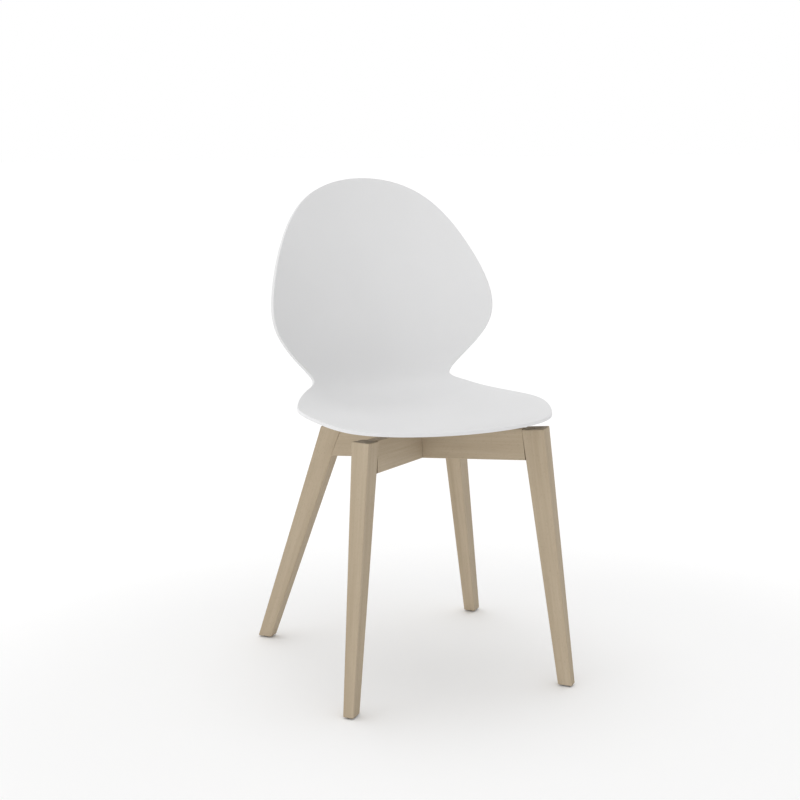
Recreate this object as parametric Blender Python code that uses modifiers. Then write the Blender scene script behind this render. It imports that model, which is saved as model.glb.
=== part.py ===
"""Dining chair: a one-piece moulded shell on a crossed wooden frame with four tapered legs.

Metres, +Z up, the sitter faces -Y.  The origin is on the floor, under the middle of the
chair's overall box.  "Left" is the -X side.
"""
import math

import bmesh
import bpy
import numpy as np
from mathutils import Matrix, Vector
from mathutils.geometry import intersect_line_plane

# ---------------------------------------------------------------- driving dimensions
GAP = 0.0003                      # air between pieces that touch
CROSS_Y = -0.0404                 # the frame's crossing, from the origin

# Shell: each section is (station, centre y, centre z, half width, rim y, rim z).  The station
# runs along the middle of the shell from -1, the seat's front edge, to 1, the top of the back.
# Centre y, z are measured from the floor under the crossing; half width is what the section
# would have at full width; rim y, z say how far its ends lie from its middle.
SHELL_SECTIONS = (
    (-1.00, -0.207, 0.460, 0.458, -0.014, 0.047),
    (-0.85, -0.146, 0.456, 0.352, -0.010, 0.036),
    (-0.65, -0.065, 0.453, 0.284, 0.000, 0.033),
    (-0.45, 0.015, 0.449, 0.238, 0.007, 0.029),
    (-0.25, 0.095, 0.446, 0.186, 0.017, 0.029),
    (-0.08, 0.164, 0.451, 0.151, -0.010, 0.031),
    (0.06, 0.209, 0.482, 0.135, -0.034, 0.013),
    (0.18, 0.223, 0.527, 0.164, -0.051, -0.001),
    (0.32, 0.233, 0.583, 0.217, -0.084, 0.003),
    (0.50, 0.246, 0.654, 0.241, -0.100, 0.013),
    (0.70, 0.263, 0.733, 0.250, -0.094, 0.017),
    (0.88, 0.280, 0.803, 0.274, -0.092, 0.017),
    (1.00, 0.293, 0.851, 0.303, -0.092, 0.021),
)
SHELL_THICKNESS = 0.0055
SHELL_EDGE_ROUND = 0.0018
SHELL_GRID = (24, 48)             # faces across and along

# Cross frame: two rails half-lapped at the crossing, falling towards the rear.
FRAME_HEIGHT = 0.432              # top of the rails over the crossing
FRAME_FALL = 0.0955               # drop per metre towards the rear
RAIL_THICKNESS = 0.026
RAIL_DEPTH = 0.0535
RAIL_PLAN_ANGLE = math.radians(45.0)

# Legs: (half spread, y) of each foot on the floor, and the leg's distance from the crossing
# at the top.  Sections are (along the rail, across the rail).
FOOT_FRONT = (0.197, -0.200)
FOOT_REAR = (0.2115, 0.2345)
LEG_RADIUS_FRONT = 0.216
LEG_RADIUS_REAR = 0.1615
LEG_TOP_SECTION = (0.0402, 0.0310)
FRONT_LEG_TOP_SLOPE = (0.095, -0.046)   # rise of a front leg's top towards its side and the rear
FOOT_SECTION_FRONT = (0.0250, 0.0187)
FOOT_SECTION_REAR = (0.0263, 0.0225)
WOOD_EDGE_ROUND = 0.0016

# Glides: a nylon disc under each foot with a stem pushed up into the leg.
GLIDE_HEIGHT = 0.0025
GLIDE_RADIUS = 0.0075
GLIDE_STEM_RADIUS = 0.003
GLIDE_STEM_LENGTH = 0.014

# Glued dowels, two at each end of each rail.
DOWEL_RADIUS = 0.004
DOWEL_IN_RAIL = 0.020
DOWEL_IN_LEG = 0.018
DOWEL_DEPTHS = (0.0145, 0.0390)   # below the rail's top

# Shell fixings: socket screws pass up through the rails into inserts in the shell's bosses.
FIXING_RADIUS_FRONT = 0.115       # distance from the crossing
FIXING_RADIUS_REAR = 0.085
BOSS_RADIUS = 0.0115
BOSS_DRAFT = 0.0012
PAD_THICKNESS = 0.002
PAD_RADIUS = 0.0105
INSERT_RADIUS = 0.0045
INSERT_LENGTH = 0.0095
SCREW_RADIUS = 0.003
SCREW_HEAD_RADIUS = 0.005
SCREW_HEAD_HEIGHT = 0.0055
SCREW_SOCKET_RADIUS = 0.0029
SCREW_SOCKET_DEPTH = 0.003
SCREW_GRIP = 0.008                # screw length inside the insert
COUNTERBORE_RADIUS = 0.0085
COUNTERBORE_DEPTH = 0.013
WASHER_RADIUS = 0.0065
WASHER_THICKNESS = 0.0012

ROUND_STEPS = 20

LEGS = {                          # name: (x side, y side)
    "front_left": (-1, -1),
    "front_right": (1, -1),
    "rear_left": (-1, 1),
    "rear_right": (1, 1),
}
RAILS = {                         # name: the legs at its two ends
    "cross_rail_lower": ("front_left", "rear_right"),
    "cross_rail_upper": ("front_right", "rear_left"),
}

FRAME = Matrix.Translation((0, 0, FRAME_HEIGHT)) @ Matrix.Rotation(-math.atan(FRAME_FALL), 4, "X")
FRAME_NORMAL = (FRAME.to_3x3() @ Vector((0, 0, 1))).normalized()


# ---------------------------------------------------------------- scene and object helpers
def clear_scene():
    for obj in list(bpy.data.objects):
        bpy.data.objects.remove(obj, do_unlink=True)


def make_collection(name):
    collection = bpy.data.collections.new(name)
    bpy.context.scene.collection.children.link(collection)
    return collection


def make_material(name, colour, roughness, metallic=0.0):
    material = bpy.data.materials.new(name)
    material.use_nodes = True
    shader = material.node_tree.nodes["Principled BSDF"]
    shader.inputs["Base Color"].default_value = (*colour, 1.0)
    shader.inputs["Roughness"].default_value = roughness
    shader.inputs["Metallic"].default_value = metallic
    return material


def add_object(name, bm, collection, parent, material=None, matrix=None):
    mesh = bpy.data.meshes.new(name)
    bmesh.ops.recalc_face_normals(bm, faces=bm.faces)
    bm.to_mesh(mesh)
    bm.free()
    obj = bpy.data.objects.new(name, mesh)
    collection.objects.link(obj)
    obj.parent = parent
    if material:
        mesh.materials.append(material)
    if matrix:
        obj.matrix_local = matrix
    return obj


def add_cutter(name, bm, stage, matrix=None):
    cutter = add_object(name, bm, stage["cutters"], stage["origin"], matrix=matrix)
    cutter.hide_render = True
    cutter.display_type = "WIRE"
    return cutter


def boolean(obj, cutter, operation="DIFFERENCE"):
    modifier = obj.modifiers.new(cutter.name, "BOOLEAN")
    modifier.operation = operation
    modifier.solver = "EXACT"
    modifier.object = cutter


def round_edges(obj, width, segments=2):
    bevel = obj.modifiers.new("edge_round", "BEVEL")
    bevel.width = width
    bevel.segments = segments
    bevel.limit_method = "ANGLE"
    bevel.angle_limit = math.radians(40)


def cylinder_mesh(radius, low, high, top_radius=None, steps=ROUND_STEPS):
    """A cylinder, or a cone with a top radius, along Z from low to high."""
    bm = bmesh.new()
    bmesh.ops.create_cone(
        bm, cap_ends=True, segments=steps, radius1=radius, radius2=top_radius or radius,
        depth=high - low, matrix=Matrix.Translation((0, 0, (low + high) / 2)))
    return bm


def turned(name, profile, stage, material, matrix, closed=False):
    """A profile of (radius, height) points, outer side running down, turned round Z."""
    bm = bmesh.new()
    verts = [bm.verts.new((radius, 0, height)) for radius, height in profile]
    for first, second in zip(verts, verts[1:]):
        bm.edges.new((first, second))
    if closed:
        bm.edges.new((verts[-1], verts[0]))
    mesh = bpy.data.meshes.new(name)
    bm.to_mesh(mesh)
    bm.free()
    obj = bpy.data.objects.new(name, mesh)
    stage["parts"].objects.link(obj)
    obj.parent = stage["origin"]
    obj.matrix_local = matrix
    mesh.materials.append(material)
    screw = obj.modifiers.new("turn", "SCREW")
    screw.axis = "Z"
    screw.steps = ROUND_STEPS
    screw.render_steps = ROUND_STEPS
    screw.use_merge_vertices = True
    screw.merge_threshold = 0.00001
    screw.use_smooth_shade = True
    return obj


def ring(name, inner, outer, low, high, stage, material, matrix):
    profile = [(outer, high), (outer, low), (inner, low), (inner, high)]
    return turned(name, profile, stage, material, matrix, closed=True)


def along(direction, point):
    """A matrix at a point with its Z axis along a direction."""
    return Matrix.Translation(point) @ Vector(direction).to_track_quat("Z", "Y").to_matrix().to_4x4()


# ---------------------------------------------------------------- moulded shell
def cubic_through(knots, values, at):
    """A natural cubic spline through the values at the knots, read at the given places."""
    knots = np.array(knots)
    values = np.array(values)
    steps = np.diff(knots)
    slopes = np.diff(values) / steps
    system = np.eye(len(knots))
    load = np.zeros(len(knots))
    for i in range(1, len(knots) - 1):
        system[i, i - 1:i + 2] = steps[i - 1], 2 * (steps[i - 1] + steps[i]), steps[i]
        load[i] = 6 * (slopes[i] - slopes[i - 1])
    bend = np.linalg.solve(system, load)
    i = np.clip(np.searchsorted(knots, at) - 1, 0, len(steps) - 1)
    step = steps[i]
    left = (knots[i + 1] - at) / step
    right = (at - knots[i]) / step
    curve = (left ** 3 - left) * bend[i] + (right ** 3 - right) * bend[i + 1]
    return left * values[i] + right * values[i + 1] + curve * step ** 2 / 6


def shell_points(across, station):
    """The middle surface of the shell, where across^2 + station^2 <= 1."""
    columns = np.array(SHELL_SECTIONS).T
    centre_y, centre_z, half_width, rim_y, rim_z = (
        cubic_through(columns[0], column, station) for column in columns[1:])
    x = half_width * across
    y = centre_y + rim_y * across ** 2
    z = centre_z + rim_z * across ** 2
    return np.column_stack([x, y, z])


def seat_height(x, y):
    """Height of the shell's middle surface over a point of the seat."""
    stations = np.linspace(-0.95, -0.1, 400)
    half_width = cubic_through(*np.array(SHELL_SECTIONS).T[[0, 3]], stations)
    points = shell_points(x / half_width, stations)
    return float(points[np.argmin(abs(points[:, 1] - y)), 2])


def build_shell(stage, material):
    bm = bmesh.new()
    bmesh.ops.create_grid(bm, x_segments=SHELL_GRID[0], y_segments=SHELL_GRID[1], size=1)
    square = np.array([vert.co[:2] for vert in bm.verts])
    across = square[:, 0] * np.sqrt(1 - square[:, 1] ** 2 / 2)
    station = square[:, 1] * np.sqrt(1 - square[:, 0] ** 2 / 2)
    for vert, point in zip(bm.verts, shell_points(across, station)):
        vert.co = point
    shell = add_object("seat_shell", bm, stage["parts"], stage["origin"], material)
    shell.data.shade_smooth()
    solidify = shell.modifiers.new("thickness", "SOLIDIFY")
    solidify.thickness = SHELL_THICKNESS
    solidify.offset = 0
    solidify.use_even_offset = True
    round_edges(shell, SHELL_EDGE_ROUND)
    return shell


# ---------------------------------------------------------------- legs and cross frame
def rail_direction(leg):
    """Unit vector in the frame's plane from the crossing towards a leg."""
    side_x, side_y = LEGS[leg]
    flat = Vector((side_x * math.cos(RAIL_PLAN_ANGLE), side_y * math.sin(RAIL_PLAN_ANGLE), 0))
    return FRAME.to_3x3() @ flat


def leg_section(leg, height):
    """Centre, outward direction, sideways direction and size of a leg's level section."""
    side_x, side_y = LEGS[leg]
    front = side_y < 0
    foot_x, foot_y = FOOT_FRONT if front else FOOT_REAR
    foot_size = Vector(FOOT_SECTION_FRONT if front else FOOT_SECTION_REAR)
    reach = LEG_RADIUS_FRONT if front else LEG_RADIUS_REAR
    out = rail_direction(leg)
    out.z = 0
    out.normalize()
    side = Vector((-out.y, out.x, 0))
    foot = Vector((side_x * foot_x, foot_y, 0))
    top = out * reach
    top.z = FRAME_HEIGHT - FRAME_FALL * top.y
    share = height / top.z
    return foot.lerp(top, share), out, side, foot_size.lerp(Vector(LEG_TOP_SECTION), share)


def leg_corner(leg, height, outward, sideways):
    centre, out, side, size = leg_section(leg, height)
    return centre + out * (outward * size.x / 2) + side * (sideways * size.y / 2)


def bar_mesh(corner_of):
    """A six-sided bar: corner_of gives each corner from its three signs."""
    bm = bmesh.new()
    bmesh.ops.create_cube(bm, size=2)
    for vert in bm.verts:
        vert.co = corner_of(*(round(value) for value in vert.co))
    return bm


def inner_face(leg):
    """A point on the face that meets the rail, and its normal towards the crossing."""
    low = leg_corner(leg, 0, -1, 0)
    high = leg_corner(leg, FRAME_HEIGHT, -1, 0)
    side = leg_section(leg, 0)[2]
    normal = (high - low).cross(side).normalized()
    if normal.dot(-high) < 0:
        normal.negate()
    return high, normal


def leg_top(leg):
    """A point and the normal of the leg's top, which is flush with the rail where they meet."""
    face, normal = inner_face(leg)
    point = intersect_line_plane(
        FRAME.translation, FRAME.translation + rail_direction(leg), face, normal)
    side_x, side_y = LEGS[leg]
    if side_y > 0:
        return point, FRAME_NORMAL
    rise_out, rise_back = FRONT_LEG_TOP_SLOPE
    return point, Vector((-side_x * rise_out, -rise_back, 1)).normalized()


def build_leg(leg, stage, material):
    """A tapered leg, made too long and cut off at its top."""
    overlength = FRAME_HEIGHT + 0.06

    def corner(outward, sideways, end):
        return leg_corner(leg, overlength if end > 0 else GLIDE_HEIGHT, outward, sideways)

    bm = bar_mesh(corner)
    bm.normal_update()
    geometry = bm.verts[:] + bm.edges[:] + bm.faces[:]
    point, normal = leg_top(leg)
    cut = bmesh.ops.bisect_plane(
        bm, geom=geometry, plane_co=point, plane_no=normal, clear_outer=True)
    rim = [item for item in cut["geom_cut"] if isinstance(item, bmesh.types.BMEdge)]
    bmesh.ops.edgeloop_fill(bm, edges=rim)
    obj = add_object("leg_" + leg, bm, stage["parts"], stage["origin"], material)
    round_edges(obj, WOOD_EDGE_ROUND)
    return obj


def build_rail(name, stage, material):
    """A rail whose two ends are cut to the faces of the legs they meet."""
    ends = RAILS[name]
    axis = rail_direction(ends[0])
    across = FRAME_NORMAL.cross(axis)

    def corner(end, sideways, top):
        leg = ends[0] if end > 0 else ends[1]
        face, normal = inner_face(leg)
        drop = 0 if top > 0 else RAIL_DEPTH
        start = FRAME.translation + across * (sideways * RAIL_THICKNESS / 2) - FRAME_NORMAL * drop
        return intersect_line_plane(start, start + axis, face + normal * GAP, normal)

    bm = bar_mesh(corner)
    obj = add_object(name, bm, stage["parts"], stage["origin"], material)
    round_edges(obj, WOOD_EDGE_ROUND)
    return obj


def cut_half_lap(rail, other, keep_top, stage):
    """Take away half of a rail's depth where the other rail passes."""
    length = RAIL_THICKNESS + 2 * GAP
    half = RAIL_DEPTH / 2
    clear = RAIL_THICKNESS
    low, high = (-RAIL_DEPTH - clear, -half + GAP / 2) if keep_top else (-half - GAP / 2, clear)
    axis = rail_direction(RAILS[other][0])
    across = FRAME_NORMAL.cross(axis)

    def corner(end, sideways, top):
        height = high if top > 0 else low
        return (FRAME.translation + axis * (end * 2 * RAIL_THICKNESS)
                + across * (sideways * length / 2) + FRAME_NORMAL * height)

    boolean(rail, add_cutter("lap_notch_" + rail.name, bar_mesh(corner), stage))


def build_dowels(leg, leg_obj, rail_obj, stage, material):
    """Two dowels across the joint of a leg and its rail, with a hole in each piece."""
    face, normal = inner_face(leg)
    axis = rail_direction(leg)
    for label, depth in zip(("upper", "lower"), DOWEL_DEPTHS):
        start = FRAME.translation - FRAME_NORMAL * depth
        joint = intersect_line_plane(start, start + axis, face, normal)
        place = along(axis, joint)
        name = "dowel_" + leg + "_" + label
        body = cylinder_mesh(DOWEL_RADIUS, -DOWEL_IN_RAIL, DOWEL_IN_LEG)
        dowel = add_object(name, body, stage["parts"], stage["origin"], material, place)
        round_edges(dowel, DOWEL_RADIUS / 5, segments=1)
        hole = cylinder_mesh(DOWEL_RADIUS + GAP, -DOWEL_IN_RAIL - GAP, DOWEL_IN_LEG + GAP)
        cutter = add_cutter("hole_" + name, hole, stage, place)
        boolean(leg_obj, cutter)
        boolean(rail_obj, cutter)


# ---------------------------------------------------------------- glides and shell fixings
def build_glide(leg, leg_obj, stage, material):
    centre, out = leg_section(leg, 0)[:2]
    place = Matrix.Translation((centre.x, centre.y, 0))
    disc_top = GLIDE_HEIGHT - GAP
    chamfer = GLIDE_HEIGHT / 5
    stem_top = disc_top + GLIDE_STEM_LENGTH
    profile = [
        (0, stem_top), (GLIDE_STEM_RADIUS * 0.6, stem_top),
        (GLIDE_STEM_RADIUS, stem_top - GLIDE_STEM_RADIUS), (GLIDE_STEM_RADIUS, disc_top),
        (GLIDE_RADIUS, disc_top), (GLIDE_RADIUS, chamfer), (GLIDE_RADIUS - chamfer, 0), (0, 0),
    ]
    turned("glide_" + leg, profile, stage, material, place)
    hole = cylinder_mesh(GLIDE_STEM_RADIUS + GAP, -GLIDE_HEIGHT, stem_top + GAP)
    boolean(leg_obj, add_cutter("hole_glide_" + leg, hole, stage, place))


def fixing_place(leg):
    """Axes at the point on the rail's top where the shell is screwed down."""
    reach = FIXING_RADIUS_FRONT if LEGS[leg][1] < 0 else FIXING_RADIUS_REAR
    point = FRAME.translation + rail_direction(leg) * reach
    return Matrix.Translation(point) @ FRAME.to_3x3().to_4x4()


def build_boss(leg, shell, stage):
    """A moulded boss under the seat, with the hole for its threaded insert."""
    place = fixing_place(leg)
    point = place.translation
    low = PAD_THICKNESS + 2 * GAP
    high = (seat_height(point.x, point.y) - point.z) * FRAME_NORMAL.z
    body = cylinder_mesh(BOSS_RADIUS, low, high, BOSS_RADIUS + BOSS_DRAFT)
    boolean(shell, add_cutter("boss_" + leg, body, stage, place), "UNION")
    hole = cylinder_mesh(INSERT_RADIUS + GAP, low - GAP, low + INSERT_LENGTH + 2 * GAP)
    return add_cutter("hole_insert_" + leg, hole, stage, place), low


def build_fixing(leg, rail_obj, boss_low, stage, materials):
    """Pad, insert, washer and screw on one axis, and the stepped hole in the rail."""
    place = fixing_place(leg)
    bore = SCREW_RADIUS + GAP
    ring("shell_pad_" + leg, bore + GAP, PAD_RADIUS, GAP, GAP + PAD_THICKNESS,
         stage, materials["rubber"], place)
    ring("threaded_insert_" + leg, bore, INSERT_RADIUS, boss_low, boss_low + INSERT_LENGTH,
         stage, materials["brass"], place)
    seat = -RAIL_DEPTH + COUNTERBORE_DEPTH
    washer_top = seat - GAP
    washer_low = washer_top - WASHER_THICKNESS
    ring("washer_" + leg, bore, WASHER_RADIUS, washer_low, washer_top,
         stage, materials["zinc"], place)
    head_top = washer_low - GAP
    head_low = head_top - SCREW_HEAD_HEIGHT
    tip = boss_low + SCREW_GRIP
    edge = SCREW_HEAD_RADIUS / 10
    profile = [
        (0, tip), (SCREW_RADIUS - 2 * edge, tip), (SCREW_RADIUS, tip - 2 * edge),
        (SCREW_RADIUS, head_top), (SCREW_HEAD_RADIUS, head_top),
        (SCREW_HEAD_RADIUS, head_low + edge), (SCREW_HEAD_RADIUS - edge, head_low), (0, head_low),
    ]
    screw = turned("shell_screw_" + leg, profile, stage, materials["zinc"], place)
    socket = cylinder_mesh(SCREW_SOCKET_RADIUS, head_low - SCREW_SOCKET_DEPTH,
                           head_low + SCREW_SOCKET_DEPTH, steps=6)
    boolean(screw, add_cutter("socket_" + leg, socket, stage, place))
    shank_hole = cylinder_mesh(bore + GAP, -RAIL_DEPTH - GAP, 10 * GAP)
    boolean(rail_obj, add_cutter("hole_screw_" + leg, shank_hole, stage, place))
    counterbore = cylinder_mesh(COUNTERBORE_RADIUS, -RAIL_DEPTH - COUNTERBORE_DEPTH, seat)
    boolean(rail_obj, add_cutter("counterbore_" + leg, counterbore, stage, place))


# ---------------------------------------------------------------- assembly
def main():
    clear_scene()
    parts = make_collection("dining_chair")
    cutters = make_collection("cutters")
    origin = bpy.data.objects.new("crossing_on_floor", None)
    origin.location = (0, CROSS_Y, 0)
    parts.objects.link(origin)
    stage = {"parts": parts, "cutters": cutters, "origin": origin}
    plastic = make_material("white_polypropylene", (0.86, 0.86, 0.87), 0.5)
    wood = make_material("bleached_beech", (0.52, 0.45, 0.34), 0.6)
    dowel_wood = make_material("dowel_beech", (0.60, 0.44, 0.27), 0.7)
    nylon = make_material("grey_nylon", (0.30, 0.29, 0.28), 0.5)
    materials = {
        "rubber": make_material("black_rubber", (0.03, 0.03, 0.03), 0.8),
        "brass": make_material("insert_brass", (0.75, 0.58, 0.28), 0.35, 1.0),
        "zinc": make_material("zinc_plated_steel", (0.62, 0.63, 0.65), 0.35, 1.0),
    }
    shell = build_shell(stage, plastic)
    rails = {name: build_rail(name, stage, wood) for name in RAILS}
    cut_half_lap(rails["cross_rail_lower"], "cross_rail_upper", False, stage)
    cut_half_lap(rails["cross_rail_upper"], "cross_rail_lower", True, stage)
    insert_holes = []
    for rail_name, ends in RAILS.items():
        for leg in ends:
            leg_obj = build_leg(leg, stage, wood)
            build_dowels(leg, leg_obj, rails[rail_name], stage, dowel_wood)
            build_glide(leg, leg_obj, stage, nylon)
            hole, boss_low = build_boss(leg, shell, stage)
            insert_holes.append(hole)
            build_fixing(leg, rails[rail_name], boss_low, stage, materials)
    for hole in insert_holes:
        boolean(shell, hole)


main()
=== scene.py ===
import math

import bmesh
import bpy
import numpy as np
from mathutils import Matrix, Vector
from mathutils.geometry import intersect_line_plane


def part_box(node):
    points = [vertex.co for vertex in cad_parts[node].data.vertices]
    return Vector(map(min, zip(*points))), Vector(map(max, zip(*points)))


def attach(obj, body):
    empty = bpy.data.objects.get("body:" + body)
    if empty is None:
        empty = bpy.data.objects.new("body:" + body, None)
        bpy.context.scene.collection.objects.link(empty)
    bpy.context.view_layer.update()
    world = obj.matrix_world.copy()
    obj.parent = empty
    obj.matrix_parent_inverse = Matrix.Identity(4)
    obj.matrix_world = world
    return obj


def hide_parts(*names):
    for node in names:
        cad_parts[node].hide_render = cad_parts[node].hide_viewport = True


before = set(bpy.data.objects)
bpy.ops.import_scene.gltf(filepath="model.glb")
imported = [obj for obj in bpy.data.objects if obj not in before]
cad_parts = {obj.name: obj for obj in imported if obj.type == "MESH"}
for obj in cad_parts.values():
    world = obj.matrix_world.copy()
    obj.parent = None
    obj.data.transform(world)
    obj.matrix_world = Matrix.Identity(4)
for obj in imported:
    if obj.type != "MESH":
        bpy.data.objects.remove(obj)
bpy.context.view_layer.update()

# ---------------------------------------------------------------- the chair's design sizes, in metres
GAP = 0.0003
SHELL_SECTIONS = (      # station, centre y, centre z, half width, rim y, rim z
    (-1.00, -0.207, 0.460, 0.458, -0.014, 0.047),
    (-0.85, -0.146, 0.456, 0.352, -0.010, 0.036),
    (-0.65, -0.065, 0.453, 0.284, 0.000, 0.033),
    (-0.45, 0.015, 0.449, 0.238, 0.007, 0.029),
    (-0.25, 0.095, 0.446, 0.186, 0.017, 0.029),
    (-0.08, 0.164, 0.451, 0.151, -0.010, 0.031),
    (0.06, 0.209, 0.482, 0.135, -0.034, 0.013),
    (0.18, 0.223, 0.527, 0.164, -0.051, -0.001),
    (0.32, 0.233, 0.583, 0.217, -0.084, 0.003),
    (0.50, 0.246, 0.654, 0.241, -0.100, 0.013),
    (0.70, 0.263, 0.733, 0.250, -0.094, 0.017),
    (0.88, 0.280, 0.803, 0.274, -0.092, 0.017),
    (1.00, 0.293, 0.851, 0.303, -0.092, 0.021),
)
SHELL_THICKNESS = 0.0055
SHELL_EDGE_ROUND = 0.0023
SHELL_GRID = (96, 176)            # faces across and along
SHELL_INSET = 0.9985              # of the outline, which keeps the round rim close to the CAD rim
FRAME_HEIGHT = 0.432
FRAME_FALL = 0.0955
RAIL_THICKNESS = 0.026
RAIL_DEPTH = 0.0535
RAIL_PLAN_ANGLE = math.radians(45.0)
FOOT_FRONT = (0.197, -0.200)
FOOT_REAR = (0.2115, 0.2345)
LEG_RADIUS_FRONT = 0.216
LEG_RADIUS_REAR = 0.1615
LEG_TOP_SECTION = (0.0402, 0.0310)
FRONT_LEG_TOP_SLOPE = (0.095, -0.046)
FOOT_SECTION_FRONT = (0.0250, 0.0187)
FOOT_SECTION_REAR = (0.0263, 0.0225)
WOOD_EDGE_ROUND = 0.0017
GLIDE_HEIGHT = 0.0025
GLIDE_RADIUS = 0.0075
GLIDE_STEM_RADIUS = 0.003
GLIDE_STEM_LENGTH = 0.014
DOWEL_RADIUS = 0.004
DOWEL_IN_RAIL = 0.020
DOWEL_IN_LEG = 0.018
DOWEL_DEPTHS = (0.0145, 0.0390)
DOWEL_CHAMFER = 0.0006
FIXING_RADIUS_FRONT = 0.115
FIXING_RADIUS_REAR = 0.085
BOSS_RADIUS = 0.0115
BOSS_DRAFT = 0.0012
BOSS_FILLET = 0.0035
PAD_THICKNESS = 0.002
PAD_RADIUS = 0.0105
INSERT_RADIUS = 0.0045
INSERT_LENGTH = 0.0095
SCREW_RADIUS = 0.003
SCREW_HEAD_RADIUS = 0.005
SCREW_HEAD_HEIGHT = 0.0055
SCREW_SOCKET_RADIUS = 0.0029
SCREW_SOCKET_DEPTH = 0.003
SCREW_GRIP = 0.008
WASHER_RADIUS = 0.0065
WASHER_THICKNESS = 0.0012
COUNTERBORE_RADIUS = 0.0085
COUNTERBORE_DEPTH = 0.013

# ---------------------------------------------------------------- studio light
ROOF_LIGHT = 0.78                   # radiance of the tent's roof
WALL_LIGHT = (0.33, 1.55)           # radiance of its walls on the dim and on the bright side
WALL_TURN = (-0.25, 0.25)           # where the walls change over, as a cosine from the bright side
WALL_TOP = (0.22, 0.38)             # sine of the elevation where the walls turn into the roof
BRIGHT_SIDE = (-1.0, 0.0, 0.0)
OVERHEAD_STRENGTH = 0.67
OVERHEAD_ANGLE = 60.0
OVERHEAD_FROM = (-0.03, 0.14, 1.0)
FLOOR_FADE = (0.65, 1.35)           # distances over which a painted glow (emission) on the floor rises until the floor is as white as the backdrop
FLOOR_FADE_CENTRE = (0.0, -0.30, 0.0)
# strength of the floor's painted glow: emission on the floor, not a lamp
FLOOR_FADE_LIGHT = 0.10

# ---------------------------------------------------------------- camera, as fitted to the photograph
CAMERA_AZIMUTH = math.radians(-21.33)
CAMERA_ELEVATION = math.radians(10.55)
CAMERA_LENS = 68.95
CAMERA_AIM_HEIGHT = 0.3926
CAMERA_DISTANCE = 2.6851
CAMERA_LEFT = 0.0311
CAMERA_UP = 0.0850

FLOOR_HALF_SIZE = 30.0
LEG_OVERLENGTH = 0.06               # of a leg's blank, before its top is sawn off
CUT_SHARP_ANGLE = 30                # degrees, between the faces of a wooden piece
LEG_SEED, RAIL_SEED, DOWEL_SEED = 11, 31, 51

LEGS = {"front_left": (-1, -1), "front_right": (1, -1), "rear_left": (-1, 1), "rear_right": (1, 1)}
RAILS = {
    "cross_rail_lower": ("front_left", "rear_right"),
    "cross_rail_upper": ("front_right", "rear_left"),
}


def node_centre(node):
    low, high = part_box(node)
    return (low + high) / 2


# The point on the floor under the rails' crossing, from where the front glides stand.
CROSSING = Vector((0, node_centre("glide_front_left").y - FOOT_FRONT[1], 0))
FRAME = (Matrix.Translation(CROSSING + Vector((0, 0, FRAME_HEIGHT)))
         @ Matrix.Rotation(-math.atan(FRAME_FALL), 4, "X"))
FRAME_NORMAL = (FRAME.to_3x3() @ Vector((0, 0, 1))).normalized()


# ---------------------------------------------------------------- object helpers
def new_object(name, bm, material, matrix=None, smooth_angle=40):
    """A mesh piece from a bmesh, smooth except over sharp edges."""
    mesh = bpy.data.meshes.new(name)
    bmesh.ops.recalc_face_normals(bm, faces=bm.faces)
    bm.to_mesh(mesh)
    bm.free()
    obj = bpy.data.objects.new(name, mesh)
    bpy.context.scene.collection.objects.link(obj)
    if matrix:
        obj.matrix_world = matrix
    if material:
        mesh.materials.append(material)
    mesh.shade_smooth()
    if smooth_angle:
        mesh.set_sharp_from_angle(angle=math.radians(smooth_angle))
    return obj


def stands_for(obj, node):
    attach(obj, "root")
    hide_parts(node)


def apply_modifiers(obj):
    graph = bpy.context.evaluated_depsgraph_get()
    mesh = bpy.data.meshes.new_from_object(obj.evaluated_get(graph))
    old = obj.data
    obj.modifiers.clear()
    obj.data = mesh
    bpy.data.meshes.remove(old)


def trim(obj, point, normal):
    """Saws off what lies beyond a plane, and leaves a flat closed end."""
    bm = bmesh.new()
    bm.from_mesh(obj.data)
    geometry = bm.verts[:] + bm.edges[:] + bm.faces[:]
    result = bmesh.ops.bisect_plane(bm, geom=geometry, plane_co=point, plane_no=normal, clear_outer=True)
    rim = [item for item in result["geom_cut"] if isinstance(item, bmesh.types.BMEdge)]
    bmesh.ops.edgeloop_fill(bm, edges=rim)
    bmesh.ops.recalc_face_normals(bm, faces=bm.faces)
    bm.to_mesh(obj.data)
    bm.free()


def bevel(obj, width, segments, angle=40):
    modifier = obj.modifiers.new("edge_round", "BEVEL")
    modifier.width = width
    modifier.segments = segments
    modifier.limit_method = "ANGLE"
    modifier.angle_limit = math.radians(angle)
    modifier.harden_normals = False


def keep_faces_flat(obj):
    """Weights the normals by face area, so that only the rounded edges shade as curves."""
    modifier = obj.modifiers.new("flat_faces", "WEIGHTED_NORMAL")
    modifier.keep_sharp = True
    modifier.mode = "FACE_AREA"
    modifier.weight = 100


def cut(obj, cutters):
    """Takes the cutters away from obj and applies the result."""
    for cutter in cutters:
        modifier = obj.modifiers.new("cut", "BOOLEAN")
        modifier.operation = "DIFFERENCE"
        modifier.solver = "EXACT"
        modifier.object = cutter
    apply_modifiers(obj)
    for cutter in cutters:
        bpy.data.objects.remove(cutter)


def cylinder(radius, low, high, matrix, steps=48):
    bm = bmesh.new()
    bmesh.ops.create_cone(
        bm, cap_ends=True, segments=steps, radius1=radius, radius2=radius,
        depth=high - low, matrix=Matrix.Translation((0, 0, (low + high) / 2)))
    return new_object("cutter", bm, None, matrix)


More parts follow.
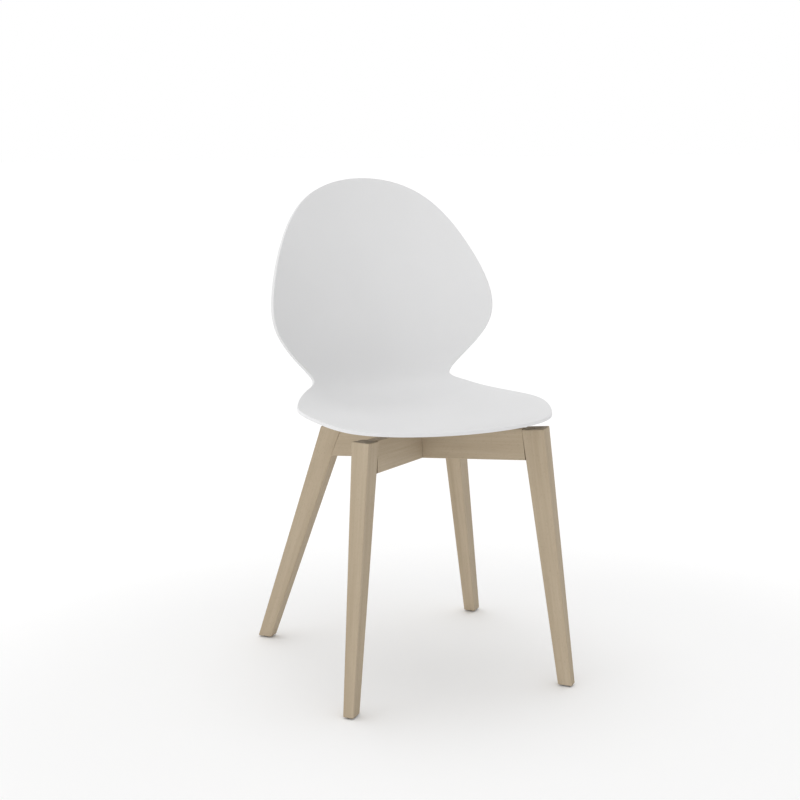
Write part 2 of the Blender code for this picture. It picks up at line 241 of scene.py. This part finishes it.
# ---------------------------------------------------------------- shader helpers
class Shader:
    """Short calls to build one material's node tree."""

    def __init__(self, name):
        self.material = bpy.data.materials.new(name)
        self.material.use_nodes = True
        self.nodes = self.material.node_tree.nodes
        self.links = self.material.node_tree.links
        self.principled = self.nodes["Principled BSDF"]

    def add(self, kind, sockets=None, **settings):
        node = self.nodes.new(kind)
        for key, value in settings.items():
            setattr(node, key, value)
        for key, value in (sockets or {}).items():
            if isinstance(value, bpy.types.NodeSocket):
                self.links.new(value, node.inputs[key])
            else:
                node.inputs[key].default_value = value
        return node

    def coords(self, attribute=None):
        if attribute:
            return self.add("ShaderNodeAttribute", attribute_name=attribute).outputs["Vector"]
        return self.add("ShaderNodeTexCoord").outputs["Object"]

    def scaled(self, vector, scale, shift=(0, 0, 0)):
        node = self.add("ShaderNodeMapping", {"Vector": vector, "Scale": scale, "Location": shift})
        return node.outputs["Vector"]

    def noise(self, vector, scale, detail=2.0, roughness=0.5, distortion=0.0):
        node = self.add("ShaderNodeTexNoise", {
            "Vector": vector, "Scale": scale, "Detail": detail,
            "Roughness": roughness, "Distortion": distortion})
        return node.outputs["Fac"]

    def math(self, operation, a, b=0.0, clamp=False):
        node = self.add("ShaderNodeMath", {0: a, 1: b}, operation=operation)
        node.use_clamp = clamp
        return node.outputs[0]

    def remap(self, value, low, high, to_low, to_high, smooth=False):
        node = self.add("ShaderNodeMapRange", {
            "Value": value, "From Min": low, "From Max": high, "To Min": to_low, "To Max": to_high})
        node.interpolation_type = "SMOOTHSTEP" if smooth else "LINEAR"
        return node.outputs["Result"]

    def mix(self, factor, a, b, blend="MIX"):
        node = self.add("ShaderNodeMix", data_type="RGBA", blend_type=blend)
        for socket, value in ((node.inputs[0], factor), (node.inputs[6], a), (node.inputs[7], b)):
            if isinstance(value, bpy.types.NodeSocket):
                self.links.new(value, socket)
            else:
                socket.default_value = value
        return node.outputs[2]

    def bump(self, height, strength, distance, normal=None):
        sockets = {"Height": height, "Strength": strength, "Distance": distance}
        if normal:
            sockets["Normal"] = normal
        return self.add("ShaderNodeBump", sockets).outputs["Normal"]

    def set(self, **values):
        for key, value in values.items():
            socket = self.principled.inputs[key.replace("_", " ")]
            if isinstance(value, bpy.types.NodeSocket):
                self.links.new(value, socket)
            else:
                socket.default_value = value


def rgb(red, green, blue):
    return (red, green, blue, 1.0)


# ---------------------------------------------------------------- materials
def plastic_material():
    """White moulded polypropylene: fine spark-eroded texture, with a soft satin sheen."""
    s = Shader("shell_plastic")
    place = s.coords()
    cloud = s.noise(place, 7.0, 3.0)
    grain = s.noise(place, 1500.0, 2.0, 0.6)
    orange_peel = s.noise(place, 260.0, 1.0)
    colour = s.mix(s.remap(cloud, 0.3, 0.7, 0.0, 1.0), rgb(0.762, 0.762, 0.765), rgb(0.777, 0.777, 0.780))
    rough = s.math("ADD", s.remap(cloud, 0.3, 0.7, 0.45, 0.51), s.remap(grain, 0.3, 0.7, -0.03, 0.03))
    fine = s.bump(grain, 0.40, 0.0003)
    s.set(Base_Color=colour, Roughness=rough, Normal=s.bump(orange_peel, 0.12, 0.0003, fine))
    s.set(IOR=1.49, Specular_IOR_Level=0.45)
    return s.material


def wood_material(name, pale, dark, lacquer_roughness):
    """Straight-grained beech with short dark flecks.  The grain runs along the attribute's X."""
    s = Shader(name)
    grain = s.coords("grain")
    wander = s.noise(s.scaled(grain, (3.0, 14.0, 14.0)), 1.0, 2.0)
    warp = s.add("ShaderNodeVectorMath", {0: grain, 1: s.add("ShaderNodeCombineXYZ", {
        "Y": s.remap(wander, 0, 1, -0.004, 0.004), "Z": s.remap(wander, 0, 1, 0.003, -0.003)}).outputs[0]},
        operation="ADD").outputs[0]
    rings = s.noise(s.scaled(warp, (2.2, 60.0, 42.0)), 1.0, 2.0, 0.45)
    fibre = s.noise(s.scaled(warp, (26.0, 900.0, 900.0)), 1.0, 3.0, 0.6)
    streak = s.noise(s.scaled(warp, (7.0, 230.0, 230.0)), 1.0, 2.0, 0.5)
    patch = s.noise(s.scaled(grain, (5.0, 9.0, 9.0)), 1.0, 1.0)
    flecks = s.add("ShaderNodeTexVoronoi", {
        "Vector": s.scaled(warp, (120.0, 1100.0, 620.0)), "Scale": 1.0, "Randomness": 1.0},
        feature="F1").outputs["Distance"]
    fleck = s.remap(flecks, 0.10, 0.26, 1.0, 0.0)
    tone = s.math("ADD", s.remap(rings, 0.3, 0.7, 0.0, 0.62), s.remap(streak, 0.3, 0.7, 0.0, 0.38), True)
    colour = s.mix(tone, pale, dark)
    colour = s.mix(s.remap(fibre, 0.35, 0.75, 0.0, 0.30), colour, dark)
    colour = s.mix(s.math("MULTIPLY", fleck, 0.45), colour, tuple(c * 0.62 for c in dark[:3]) + (1.0,))
    colour = s.mix(s.remap(patch, 0.3, 0.7, 0.0, 0.22), colour, tuple(c * 0.86 for c in pale[:3]) + (1.0,))
    ends = s.add("ShaderNodeAttribute", attribute_name="end_grain").outputs["Fac"]
    pores = s.noise(s.scaled(grain, (40.0, 1500.0, 1500.0)), 1.0, 2.0, 0.7)
    end_tone = s.math("MULTIPLY", ends, s.remap(pores, 0.35, 0.65, 0.45, 0.80))
    colour = s.mix(end_tone, colour, tuple(c * 0.48 for c in dark[:3]) + (1.0,))
    rough = s.math("ADD", s.remap(streak, 0.3, 0.7, lacquer_roughness, lacquer_roughness + 0.08),
                   s.math("MULTIPLY", fleck, 0.08))
    height = s.math("SUBTRACT", s.math("MULTIPLY", fibre, 0.6), s.math("MULTIPLY", fleck, 0.7))
    s.set(Base_Color=colour, Roughness=rough, Normal=s.bump(height, 0.35, 0.00025))
    s.set(IOR=1.5, Specular_IOR_Level=0.18)
    return s.material


def metal_material(name, colour, tint, roughness):
    s = Shader(name)
    place = s.coords()
    cloud = s.noise(place, 180.0, 3.0)
    fine = s.noise(place, 2600.0, 2.0)
    mixed = s.mix(s.remap(cloud, 0.35, 0.65, 0.0, 1.0), colour, tint)
    rough = s.remap(cloud, 0.3, 0.7, roughness - 0.06, roughness + 0.08)
    s.set(Base_Color=mixed, Roughness=rough, Normal=s.bump(fine, 0.15, 0.0001))
    s.set(Metallic=1.0)
    return s.material


def moulded_material(name, colour, tint, roughness, grain_scale):
    s = Shader(name)
    place = s.coords()
    cloud = s.noise(place, 90.0, 2.0)
    fine = s.noise(place, grain_scale, 2.0)
    mixed = s.mix(s.remap(cloud, 0.3, 0.7, 0.0, 1.0), colour, tint)
    rough = s.remap(cloud, 0.3, 0.7, roughness - 0.05, roughness + 0.05)
    s.set(Base_Color=mixed, Roughness=rough, Normal=s.bump(fine, 0.2, 0.0002))
    return s.material


# ---------------------------------------------------------------- moulded shell
def cubic_through(knots, values, at):
    """A natural cubic spline through the values at the knots, read at the given places."""
    knots = np.array(knots)
    values = np.array(values)
    steps = np.diff(knots)
    slopes = np.diff(values) / steps
    system = np.eye(len(knots))
    load = np.zeros(len(knots))
    for i in range(1, len(knots) - 1):
        system[i, i - 1:i + 2] = steps[i - 1], 2 * (steps[i - 1] + steps[i]), steps[i]
        load[i] = 6 * (slopes[i] - slopes[i - 1])
    bend = np.linalg.solve(system, load)
    i = np.clip(np.searchsorted(knots, at) - 1, 0, len(steps) - 1)
    step = steps[i]
    left = (knots[i + 1] - at) / step
    right = (at - knots[i]) / step
    curve = (left ** 3 - left) * bend[i] + (right ** 3 - right) * bend[i + 1]
    return left * values[i] + right * values[i + 1] + curve * step ** 2 / 6


def shell_points(across, station):
    """The middle surface of the shell, where across^2 + station^2 <= 1."""
    columns = np.array(SHELL_SECTIONS).T
    centre_y, centre_z, half_width, rim_y, rim_z = (
        cubic_through(columns[0], column, station) for column in columns[1:])
    x = half_width * across
    y = centre_y + rim_y * across ** 2 + CROSSING.y
    z = centre_z + rim_z * across ** 2
    return np.column_stack([x, y, z])


def seat_height(x, y):
    """Height of the shell's middle surface over a point of the seat."""
    stations = np.linspace(-0.95, -0.1, 400)
    half_width = cubic_through(*np.array(SHELL_SECTIONS).T[[0, 3]], stations)
    points = shell_points(x / half_width, stations)
    return float(points[np.argmin(abs(points[:, 1] - y)), 2])


def build_shell(material):
    bm = bmesh.new()
    bmesh.ops.create_grid(bm, x_segments=SHELL_GRID[0], y_segments=SHELL_GRID[1], size=1)
    square = np.array([vert.co[:2] for vert in bm.verts])
    across = SHELL_INSET * square[:, 0] * np.sqrt(1 - square[:, 1] ** 2 / 2)
    station = SHELL_INSET * square[:, 1] * np.sqrt(1 - square[:, 0] ** 2 / 2)
    for vert, point in zip(bm.verts, shell_points(across, station)):
        vert.co = point
    shell = new_object("shell", bm, material, smooth_angle=None)
    solidify = shell.modifiers.new("thickness", "SOLIDIFY")
    solidify.thickness = SHELL_THICKNESS
    solidify.offset = 0
    solidify.use_even_offset = True
    bevel(shell, SHELL_EDGE_ROUND, 4)
    apply_modifiers(shell)
    low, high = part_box("seat_shell")     # the round rim may pass the CAD rim by a fraction of a mm
    for vert in shell.data.vertices:
        vert.co = [min(max(value, least), most) for value, least, most in zip(vert.co, low, high)]
    shell.data.shade_smooth()
    return shell


def fixing_place(leg):
    reach = FIXING_RADIUS_FRONT if LEGS[leg][1] < 0 else FIXING_RADIUS_REAR
    point = FRAME.translation + rail_direction(leg) * reach
    return Matrix.Translation(point) @ FRAME.to_3x3().to_4x4()


def skin_height(place, x, y):
    """Height of the shell's underside over a point of the rail's top, from the rail's top."""
    point = place @ Vector((x, y, 0))
    return (seat_height(point.x, point.y) - point.z) * FRAME_NORMAL.z - SHELL_THICKNESS / 2


def build_boss(leg, material):
    """A moulded boss that flares into the underside of the seat, with a hole for its insert."""
    place = fixing_place(leg)
    low = PAD_THICKNESS + 2 * GAP
    wall = BOSS_RADIUS + BOSS_DRAFT
    into_shell = SHELL_THICKNESS / 3
    flare = [(wall + BOSS_FILLET * (1 - math.sin(t)), -BOSS_FILLET * (1 - math.cos(t)))
             for t in np.linspace(0, math.pi / 2, 8)]
    flare.insert(0, (wall + BOSS_FILLET, into_shell))
    hole = INSERT_RADIUS + GAP
    depth = INSERT_LENGTH + 3 * GAP
    edge = 0.0006
    body = [*corner_round(BOSS_RADIUS, low, edge, False)[::-1], (hole, low), (hole, low + depth)]
    turns = np.linspace(0, 2 * math.pi, 64, endpoint=False)
    bm = bmesh.new()
    rings = []
    for radius, drop in flare:
        ring = [(radius * math.cos(a), radius * math.sin(a)) for a in turns]
        rings.append([bm.verts.new((x, y, skin_height(place, x, y) + drop)) for x, y in ring])
    for radius, height in body:
        rings.append([bm.verts.new((radius * math.cos(a), radius * math.sin(a), height)) for a in turns])
    for upper, lower in zip(rings, rings[1:]):
        for i in range(len(turns)):
            k = (i + 1) % len(turns)
            bm.faces.new((upper[i], upper[k], lower[k], lower[i]))
    bm.faces.new(rings[0])
    bm.faces.new(rings[-1])
    boss = new_object("shell_boss_" + leg, bm, material, place)
    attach(boss, "root")


# ---------------------------------------------------------------- legs and cross frame
def rail_direction(leg):
    """Unit vector in the frame's plane from the crossing towards a leg."""
    side_x, side_y = LEGS[leg]
    flat = Vector((side_x * math.cos(RAIL_PLAN_ANGLE), side_y * math.sin(RAIL_PLAN_ANGLE), 0))
    return FRAME.to_3x3() @ flat


def leg_section(leg, height):
    """Centre, outward direction, sideways direction and size of a leg's level section."""
    side_x, side_y = LEGS[leg]
    front = side_y < 0
    foot_x, foot_y = FOOT_FRONT if front else FOOT_REAR
    foot_size = Vector(FOOT_SECTION_FRONT if front else FOOT_SECTION_REAR)
    reach = LEG_RADIUS_FRONT if front else LEG_RADIUS_REAR
    out = rail_direction(leg)
    out.z = 0
    out.normalize()
    side = Vector((-out.y, out.x, 0))
    foot = CROSSING + Vector((side_x * foot_x, foot_y, 0))
    top = out * reach
    top.z = FRAME_HEIGHT - FRAME_FALL * top.y
    top += CROSSING
    share = height / top.z
    return foot.lerp(top, share), out, side, foot_size.lerp(Vector(LEG_TOP_SECTION), share)


def leg_corner(leg, height, outward, sideways):
    centre, out, side, size = leg_section(leg, height)
    return centre + out * (outward * size.x / 2) + side * (sideways * size.y / 2)


def bar_mesh(corner_of):
    """A six-sided bar: corner_of gives each corner from its three signs."""
    bm = bmesh.new()
    bmesh.ops.create_cube(bm, size=2)
    for vert in bm.verts:
        vert.co = corner_of(*(round(value) for value in vert.co))
    return bm


def add_grain(obj, axis, across, seed):
    """Stores each point's place in the plank that the piece was cut from, and its end grain."""
    along = Vector(axis).normalized()
    wide = Vector(across)
    wide = (wide - along * wide.dot(along)).normalized()
    basis = np.array([along, wide, along.cross(wide)])
    points = np.array([vert.co for vert in obj.data.vertices])
    origin = points.mean(axis=0)
    plank = (points - origin) @ basis.T
    plank += np.random.default_rng(seed).uniform(-1, 1, 3) * (4.0, 0.9, 0.9)
    attribute = obj.data.attributes.new("grain", "FLOAT_VECTOR", "POINT")
    attribute.data.foreach_set("vector", plank.astype(np.float32).ravel())
    facing = [abs(face.normal.dot(along)) ** 4 for face in obj.data.polygons]
    attribute = obj.data.attributes.new("end_grain", "FLOAT", "FACE")
    attribute.data.foreach_set("value", facing)


def inner_face(leg):
    """A point on the face that meets the rail, and its normal towards the crossing."""
    low = leg_corner(leg, 0, -1, 0)
    high = leg_corner(leg, FRAME_HEIGHT, -1, 0)
    side = leg_section(leg, 0)[2]
    normal = (high - low).cross(side).normalized()
    if normal.dot(CROSSING - high) < 0:
        normal.negate()
    return high, normal


def leg_top(leg):
    """A point and the normal of the leg's top, which is flush with the rail where they meet."""
    face, normal = inner_face(leg)
    point = intersect_line_plane(
        FRAME.translation, FRAME.translation + rail_direction(leg), face, normal)
    side_x, side_y = LEGS[leg]
    if side_y > 0:
        return point, FRAME_NORMAL
    rise_out, rise_back = FRONT_LEG_TOP_SLOPE
    return point, Vector((-side_x * rise_out, -rise_back, 1)).normalized()


def dowel_places(leg):
    """Where a leg's upper and lower dowel cross its joint with the rail, with Z along the dowel."""
    face, normal = inner_face(leg)
    axis = rail_direction(leg)
    places = []
    for depth in DOWEL_DEPTHS:
        start = FRAME.translation - FRAME_NORMAL * depth
        joint = intersect_line_plane(start, start + axis, face, normal)
        places.append(Matrix.Translation(joint) @ axis.to_track_quat("Z", "Y").to_matrix().to_4x4())
    return places


def dowel_holes(leg):
    """Cutters for the two dowels across the joint of a leg and its rail."""
    return [cylinder(DOWEL_RADIUS + GAP, -DOWEL_IN_RAIL - GAP, DOWEL_IN_LEG + GAP, place, 24)
            for place in dowel_places(leg)]


def finish_wood(obj):
    """Shades the cut piece with flat faces and soft edges."""
    obj.data.shade_smooth()
    obj.data.set_sharp_from_angle(angle=math.radians(CUT_SHARP_ANGLE))
    keep_faces_flat(obj)
    apply_modifiers(obj)


def build_leg(leg, material, seed):
    overlength = FRAME_HEIGHT + LEG_OVERLENGTH

    def corner(outward, sideways, end):
        return leg_corner(leg, overlength if end > 0 else GLIDE_HEIGHT, outward, sideways)

    obj = new_object("wood_leg_" + leg, bar_mesh(corner), material, smooth_angle=CUT_SHARP_ANGLE)
    trim(obj, *leg_top(leg))
    bevel(obj, WOOD_EDGE_ROUND, 4)
    apply_modifiers(obj)
    foot = leg_section(leg, 0)[0]
    stem_top = GLIDE_HEIGHT + GLIDE_STEM_LENGTH
    stem_hole = cylinder(GLIDE_STEM_RADIUS + GAP, -GLIDE_HEIGHT, stem_top, Matrix.Translation(foot))
    cut(obj, [stem_hole, *dowel_holes(leg)])
    finish_wood(obj)
    axis = leg_section(leg, FRAME_HEIGHT)[0] - foot
    add_grain(obj, axis, leg_section(leg, 0)[2], seed)
    stands_for(obj, "leg_" + leg)


def rail_place(name):
    """Axis along the rail and axis across it."""
    axis = rail_direction(RAILS[name][0])
    return axis, FRAME_NORMAL.cross(axis)


def build_rail(name, other, keep_top, material, seed):
    """A rail with its ends cut to the legs, its half-lap notch and its two stepped screw holes."""
    ends = RAILS[name]
    axis, across = rail_place(name)

    def corner(end, sideways, top):
        leg = ends[0] if end > 0 else ends[1]
        face, normal = inner_face(leg)
        drop = 0 if top > 0 else RAIL_DEPTH
        start = FRAME.translation + across * (sideways * RAIL_THICKNESS / 2) - FRAME_NORMAL * drop
        point = intersect_line_plane(start, start + axis, face, normal)
        return point + axis * (end * RAIL_THICKNESS)

    obj = new_object("wood_" + name, bar_mesh(corner), material, smooth_angle=CUT_SHARP_ANGLE)
    bevel(obj, WOOD_EDGE_ROUND, 4)
    apply_modifiers(obj)
    for leg in ends:
        face, normal = inner_face(leg)
        trim(obj, face + normal * GAP, -normal)
    half = RAIL_DEPTH / 2
    low, high = (-2 * RAIL_DEPTH, -half + GAP / 2) if keep_top else (-half - GAP / 2, RAIL_DEPTH)
    other_axis, other_across = rail_place(other)

    def notch_corner(end, sideways, top):
        width = RAIL_THICKNESS + 2 * GAP
        return (FRAME.translation + other_axis * (end * 2 * RAIL_THICKNESS)
                + other_across * (sideways * width / 2) + FRAME_NORMAL * (high if top > 0 else low))

    cutters = [new_object("cutter", bar_mesh(notch_corner), None)]
    for leg in ends:
        place = fixing_place(leg)
        cutters += dowel_holes(leg)
        cutters.append(cylinder(SCREW_RADIUS + 2 * GAP, -RAIL_DEPTH, RAIL_DEPTH, place))
        cutters.append(cylinder(COUNTERBORE_RADIUS, -2 * RAIL_DEPTH, COUNTERBORE_DEPTH - RAIL_DEPTH, place))
    cut(obj, cutters)
    finish_wood(obj)
    add_grain(obj, axis, across, seed)
    stands_for(obj, name)


# ---------------------------------------------------------------- glides, pads and screws
def lathe(name, profile, material, matrix, ring=False, steps=48):
    """A turned piece from (radius, height) points, or a ring where the profile closes on itself."""
    bm = bmesh.new()
    turns = np.linspace(0, 2 * math.pi, steps, endpoint=False)
    loops = [[bm.verts.new((radius * math.cos(a), radius * math.sin(a), height)) for a in turns]
             for radius, height in profile]
    for i, lower in enumerate(loops if ring else loops[:-1]):
        upper = loops[(i + 1) % len(loops)]
        for j in range(steps):
            k = (j + 1) % steps
            bm.faces.new((lower[j], lower[k], upper[k], upper[j]))
    if not ring:
        bm.faces.new(loops[0])
        bm.faces.new(loops[-1])
    return new_object(name, bm, material, matrix, smooth_angle=35)


def corner_round(radius, height, edge, top, steps=4):
    """Profile points of a rounded outer corner, from below to above."""
    angles = np.linspace(0, math.pi / 2, steps)
    if not top:
        angles = angles[::-1]
    lift = 1 if top else -1
    return [(radius - edge * (1 - math.cos(a)), height - lift * edge * (1 - math.sin(a))) for a in angles]


def build_glide(leg, material):
    """A nylon push-in glide: a domed foot on a ribbed stem."""
    foot = node_centre("glide_" + leg)
    plate = GLIDE_HEIGHT - GAP
    stem_top = plate + GLIDE_STEM_LENGTH
    core = GLIDE_STEM_RADIUS - 0.0004
    profile = [*corner_round(GLIDE_RADIUS, 0.0, 0.0009, False, 6),
               *corner_round(GLIDE_RADIUS, plate, 0.0004, True), (core, plate)]
    for base in np.linspace(plate + 0.002, stem_top - 0.004, 6):
        profile += [(core, base), (GLIDE_STEM_RADIUS, base + 0.0002), (core, base + 0.0014)]
    profile += [(core, stem_top - 0.0012), (core - 0.0012, stem_top)]
    glide = lathe("foot_glide_" + leg, profile, material, Matrix.Translation((foot.x, foot.y, 0)))
    stands_for(glide, "glide_" + leg)


def ring_profile(bore, radius, low, high, edge):
    return [(bore, low), *corner_round(radius, low, edge, False),
            *corner_round(radius, high, edge, True), (bore, high)]


def build_dowels(leg, material, seed):
    """The two glued dowels of a leg's joint, with chamfered ends and their own grain."""
    profile = [*corner_round(DOWEL_RADIUS, -DOWEL_IN_RAIL, DOWEL_CHAMFER, False, 2),
               *corner_round(DOWEL_RADIUS, DOWEL_IN_LEG, DOWEL_CHAMFER, True, 2)]
    for i, (label, place) in enumerate(zip(("upper", "lower"), dowel_places(leg))):
        dowel = lathe(f"wood_dowel_{leg}_{label}", profile, material, place, steps=32)
        add_grain(dowel, (0, 0, 1), (1, 0, 0), seed + i)
        stands_for(dowel, f"dowel_{leg}_{label}")


def build_fixing(leg, finishes):
    """The rubber pad, threaded insert, washer and socket screw that hold the shell at one boss."""
    place = fixing_place(leg)
    bore = SCREW_RADIUS + GAP

    profile = ring_profile(bore + GAP, PAD_RADIUS, GAP, GAP + PAD_THICKNESS, 0.0004)
    pad = lathe("rubber_pad_" + leg, profile, finishes["pad_rubber"], place, ring=True)
    stands_for(pad, "shell_pad_" + leg)

    low = PAD_THICKNESS + 2 * GAP
    waist = INSERT_RADIUS - 0.0005
    third = INSERT_LENGTH / 3
    profile = [(bore, low), *corner_round(INSERT_RADIUS, low, 0.0002, False),
               (INSERT_RADIUS, low + third), (waist, low + third + 0.0003),
               (waist, low + 2 * third - 0.0003), (INSERT_RADIUS, low + 2 * third),
               *corner_round(INSERT_RADIUS, low + INSERT_LENGTH, 0.0002, True),
               (bore, low + INSERT_LENGTH)]
    insert = lathe("brass_insert_" + leg, profile, finishes["insert_brass"], place, ring=True)
    stands_for(insert, "threaded_insert_" + leg)

    washer_top = COUNTERBORE_DEPTH - RAIL_DEPTH - GAP
    washer_low = washer_top - WASHER_THICKNESS
    profile = ring_profile(bore, WASHER_RADIUS, washer_low, washer_top, 0.0002)
    washer = lathe("steel_washer_" + leg, profile, finishes["fixing_steel"], place, ring=True)
    stands_for(washer, "washer_" + leg)

    head_top = washer_low - GAP
    head_low = head_top - SCREW_HEAD_HEIGHT
    tip = low + SCREW_GRIP
    profile = [*corner_round(SCREW_HEAD_RADIUS, head_low, 0.0005, False),
               *corner_round(SCREW_HEAD_RADIUS, head_top, 0.0002, True),
               (SCREW_RADIUS, head_top), (SCREW_RADIUS, tip - 0.001), (SCREW_RADIUS - 0.001, tip)]
    screw = lathe("socket_screw_" + leg, profile, finishes["fixing_steel"], place)
    cut(screw, [cylinder(SCREW_SOCKET_RADIUS, head_low - SCREW_SOCKET_DEPTH,
                         head_low + SCREW_SOCKET_DEPTH, place, 6)])
    screw.data.set_sharp_from_angle(angle=math.radians(35))
    stands_for(screw, "shell_screw_" + leg)


# ---------------------------------------------------------------- assembly
def build_chair():
    plastic = plastic_material()
    wood = wood_material("frame_wood", rgb(0.527, 0.438, 0.322), rgb(0.400, 0.320, 0.222), 0.56)
    dowel_wood = wood_material("dowel_wood", rgb(0.60, 0.44, 0.27), rgb(0.46, 0.31, 0.17), 0.65)
    finishes = {
        "glide_nylon": moulded_material(
            "glide_nylon", rgb(0.22, 0.21, 0.20), rgb(0.27, 0.26, 0.25), 0.45, 900.0),
        "pad_rubber": moulded_material(
            "pad_rubber", rgb(0.025, 0.025, 0.025), rgb(0.04, 0.04, 0.04), 0.75, 700.0),
        "insert_brass": metal_material(
            "insert_brass", rgb(0.75, 0.58, 0.28), rgb(0.66, 0.50, 0.24), 0.34),
        "fixing_steel": metal_material(
            "fixing_steel", rgb(0.62, 0.63, 0.65), rgb(0.52, 0.53, 0.55), 0.32),
    }
    shell = build_shell(plastic)
    stands_for(shell, "seat_shell")
    for leg in LEGS:
        build_boss(leg, plastic)
    for seed, leg in enumerate(LEGS):
        build_leg(leg, wood, LEG_SEED + seed)
    build_rail("cross_rail_lower", "cross_rail_upper", False, wood, RAIL_SEED)
    build_rail("cross_rail_upper", "cross_rail_lower", True, wood, RAIL_SEED + 1)
    for seed, leg in enumerate(LEGS):
        build_glide(leg, finishes["glide_nylon"])
        build_fixing(leg, finishes)
        build_dowels(leg, dowel_wood, DOWEL_SEED + 2 * seed)


# ---------------------------------------------------------------- studio
def studio():
    """A pale seamless floor in a white light tent, with a painted glow (emission) that whitens the floor
    far from the chair.
    """
    bm = bmesh.new()
    bmesh.ops.create_grid(bm, x_segments=1, y_segments=1, size=FLOOR_HALF_SIZE)
    floor = new_object("studio_floor", bm, None, smooth_angle=None)
    paint = Shader("studio_floor")
    place = paint.coords()
    soft = paint.noise(place, 1.5, 2.0)
    paint.set(Base_Color=paint.mix(soft, rgb(0.945, 0.945, 0.945), rgb(0.955, 0.955, 0.955)), Roughness=1.0)
    paint.set(Specular_IOR_Level=0.0)
    # painted light: the floor glows (emission) more and more away from the chair, so it turns as white as
    # the backdrop
    away = paint.add("ShaderNodeVectorMath", {0: place, 1: FLOOR_FADE_CENTRE}, operation="DISTANCE")
    painted_floor_glow = paint.remap(away.outputs["Value"], FLOOR_FADE[0], FLOOR_FADE[1], 0.0, FLOOR_FADE_LIGHT, True)
    paint.set(Emission_Color=rgb(1, 1, 1), Emission_Strength=painted_floor_glow)
    below = paint.add("ShaderNodeNewGeometry").outputs["Backfacing"]
    clear = paint.add("ShaderNodeBsdfTransparent").outputs["BSDF"]
    one_sided = paint.add("ShaderNodeMixShader", {0: below, 1: paint.principled.outputs["BSDF"], 2: clear})
    paint.links.new(one_sided.outputs[0], paint.nodes["Material Output"].inputs["Surface"])
    floor.data.materials.append(paint.material)
    bpy.context.scene.world = light_tent()

    soft_sun("overhead", OVERHEAD_STRENGTH, OVERHEAD_ANGLE, OVERHEAD_FROM)
    bpy.context.scene.view_settings.view_transform = "Standard"


def soft_sun(name, strength, angle, source):
    """A broad, even light from far away, in the direction of source."""
    light = bpy.data.lights.new(name, "SUN")
    light.energy = strength
    light.angle = math.radians(angle)
    lamp = bpy.data.objects.new(name, light)
    lamp.rotation_euler = (-Vector(source)).to_track_quat("-Z", "Y").to_euler()
    bpy.context.scene.collection.objects.link(lamp)
    return lamp


def light_tent():
    """A white light tent: an even roof, and walls that are brighter on one side."""
    world = bpy.data.worlds.new("studio")
    world.use_nodes = True
    nodes, links = world.node_tree.nodes, world.node_tree.links

    def add(kind, sockets, **settings):
        node = nodes.new(kind)
        for key, value in settings.items():
            setattr(node, key, value)
        for key, value in sockets.items():
            if isinstance(value, bpy.types.NodeSocket):
                links.new(value, node.inputs[key])
            else:
                node.inputs[key].default_value = value
        return node

    direction = nodes.new("ShaderNodeTexCoord").outputs["Generated"]
    facing = add("ShaderNodeVectorMath", {0: direction, 1: BRIGHT_SIDE}, operation="DOT_PRODUCT")
    height = add("ShaderNodeSeparateXYZ", {0: direction}).outputs["Z"]
    wall = add("ShaderNodeMapRange", {
        "Value": facing.outputs["Value"], "From Min": WALL_TURN[0],
        "From Max": WALL_TURN[1], "To Min": WALL_LIGHT[0], "To Max": WALL_LIGHT[1]},
        interpolation_type="SMOOTHSTEP")
    roof = add("ShaderNodeMapRange", {
        "Value": height, "From Min": WALL_TOP[0], "From Max": WALL_TOP[1]},
        interpolation_type="SMOOTHSTEP")
    level = add("ShaderNodeMix", {
        0: roof.outputs["Result"], 2: wall.outputs["Result"], 3: ROOF_LIGHT}, data_type="FLOAT")
    seen = nodes.new("ShaderNodeLightPath").outputs["Is Camera Ray"]
    shown = add("ShaderNodeMix", {0: seen, 2: level.outputs[0], 3: 1.0}, data_type="FLOAT")
    background = nodes["Background"]
    background.inputs["Color"].default_value = (1, 1, 1, 1)
    links.new(shown.outputs[0], background.inputs["Strength"])
    return world


def camera():
    """The photograph's view: from the front, to the chair's right-hand side, a little above."""
    level = math.cos(CAMERA_ELEVATION)
    back = Vector((math.sin(CAMERA_AZIMUTH) * level,
                   -math.cos(CAMERA_AZIMUTH) * level, math.sin(CAMERA_ELEVATION)))
    data = bpy.data.cameras.new("camera")
    data.lens = CAMERA_LENS
    data.sensor_width = 36.0
    data.clip_start = 0.05
    data.clip_end = 100.0
    cam = bpy.data.objects.new("camera", data)
    forward = -back
    right = forward.cross(Vector((0, 0, 1))).normalized()
    up = right.cross(forward)
    target = CROSSING + Vector((0, 0, CAMERA_AIM_HEIGHT))
    cam.location = target + back * CAMERA_DISTANCE - right * CAMERA_LEFT + up * CAMERA_UP
    cam.rotation_euler = forward.to_track_quat("-Z", "Y").to_euler()
    bpy.context.scene.collection.objects.link(cam)
    bpy.context.scene.camera = cam


build_chair()
studio()
camera()
